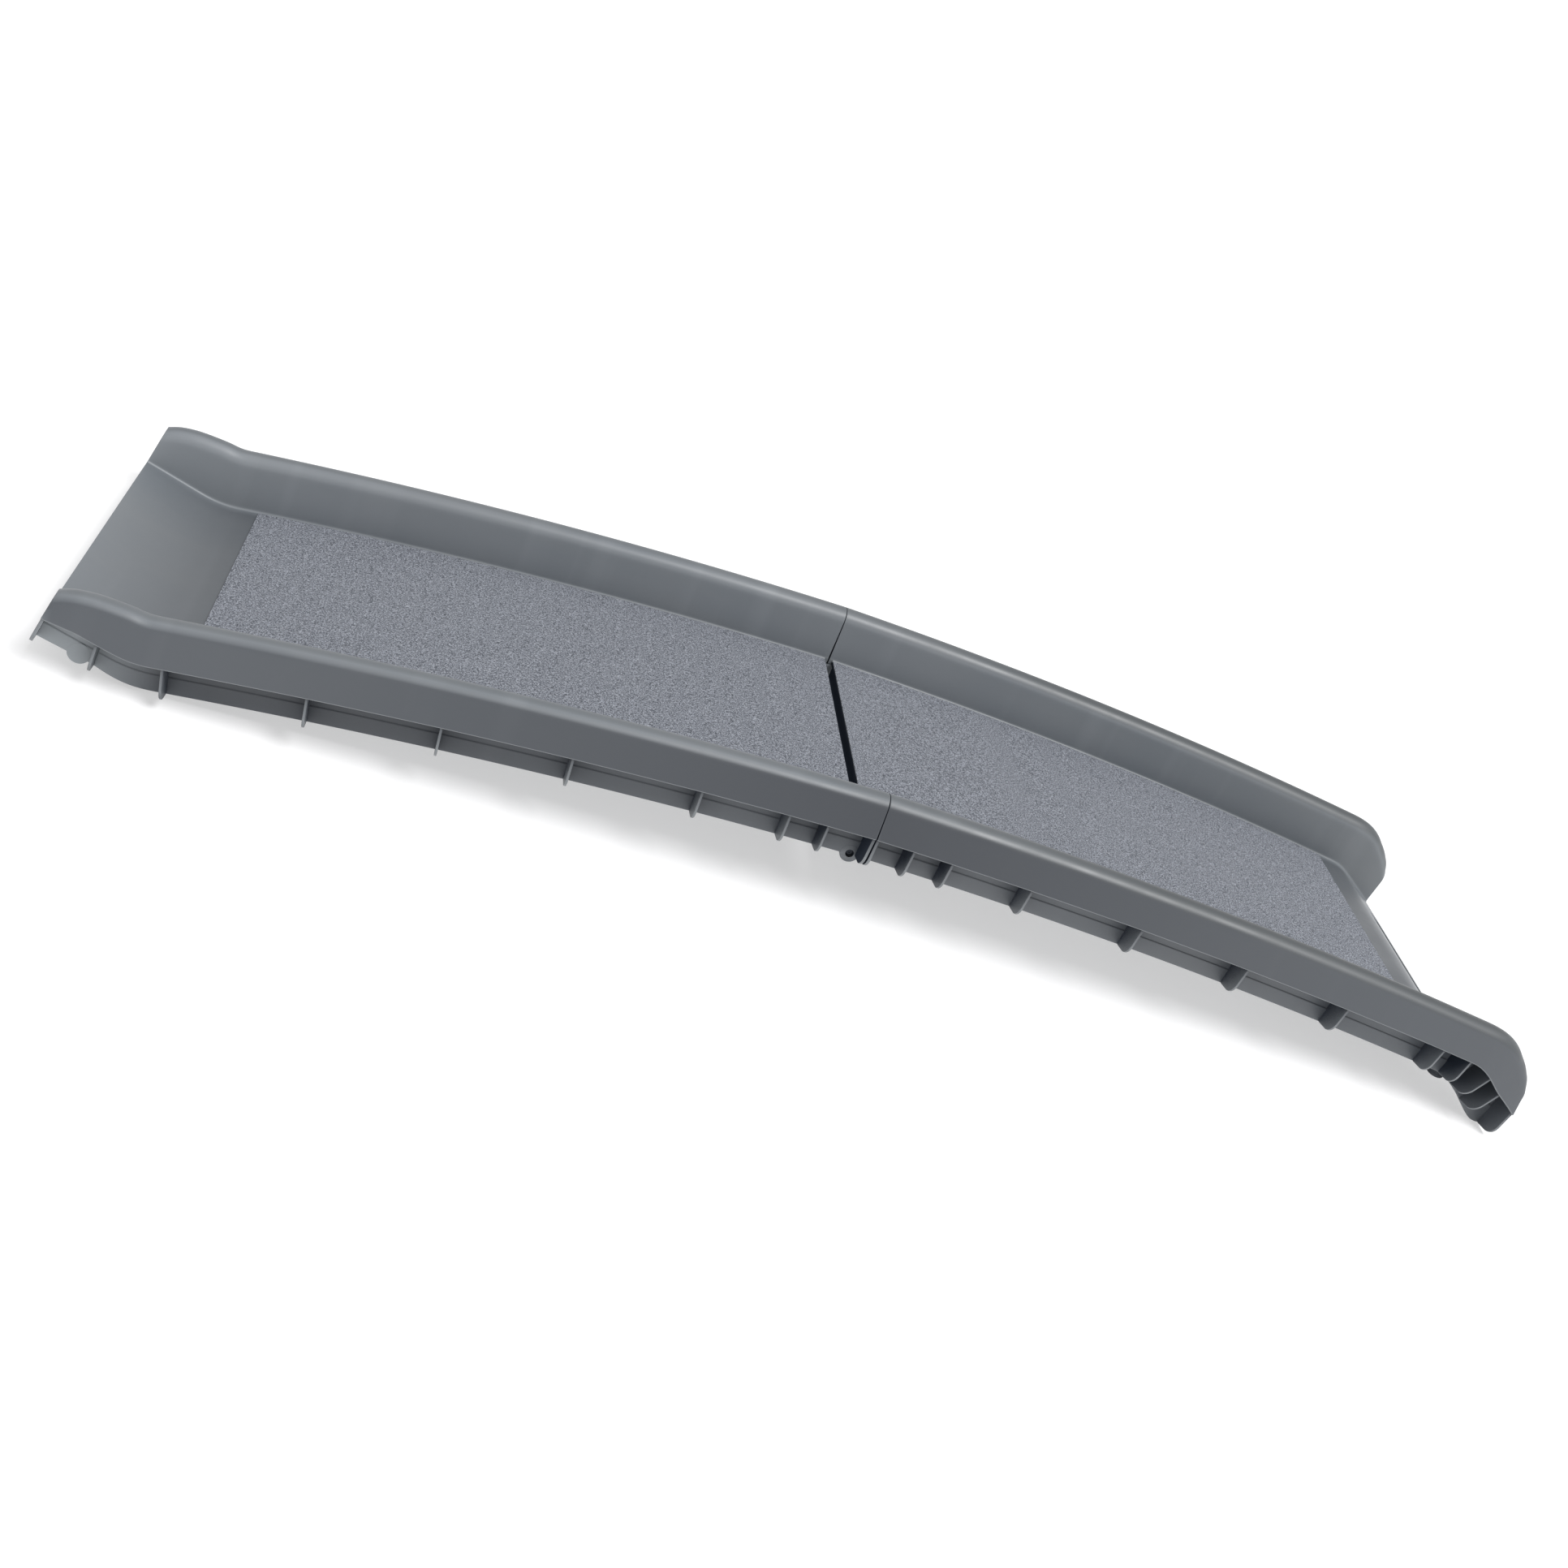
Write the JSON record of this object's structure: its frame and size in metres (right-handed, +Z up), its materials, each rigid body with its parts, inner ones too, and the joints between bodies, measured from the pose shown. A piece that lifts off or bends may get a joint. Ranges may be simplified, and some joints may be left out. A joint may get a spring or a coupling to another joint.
{
  "type": "folding dog ramp",
  "caption": "Bi-fold moulded dog ramp with side walls, grit walking mats, an upturned ground lip and a hooked vehicle end that folds flat about a cross hinge.",
  "frame": {"origin": "on the floor, below the middle of the unfolded ramp", "axes": "+X runs from the ground end to the vehicle end, +Y across the ramp, +Z up"},
  "size_m": [1.5518, 0.4758, 0.1507],
  "materials": {
    "panel": "smooth satin moulded grey plastic",
    "mat": "fine high-traction grit, blue-grey",
    "steel": "bright zinc-plated steel",
    "pin_steel": "blackened steel",
    "rubber": "soft matt dark rubber"
  },
  "bodies": {
    "lower": {"lower_panel": "panel", "lower_mat": "mat", "hinge_pin_near": "pin_steel", "hinge_washer_near": "steel", "hinge_clip_near": "steel", "hinge_pin_far": "pin_steel", "hinge_washer_far": "steel", "hinge_clip_far": "steel", "lip_foot_near": "rubber", "lip_foot_washer_near": "steel", "lip_foot_screw_near": "steel", "lip_foot_far": "rubber", "lip_foot_washer_far": "steel", "lip_foot_screw_far": "steel"},
    "upper": {"upper_panel": "panel", "upper_mat": "mat", "hook_foot_near": "rubber", "hook_foot_washer_near": "steel", "hook_foot_screw_near": "steel", "hook_foot_far": "rubber", "hook_foot_washer_far": "steel", "hook_foot_screw_far": "steel"}
  },
  "joints": [
    {"name": "fold_hinge", "type": "hinge", "parent": "lower", "child": "upper", "pos_m": [-0.00934, 0, 0.07211], "axis": [0, 1, 0], "range_deg": [0, 165]}
  ]
}
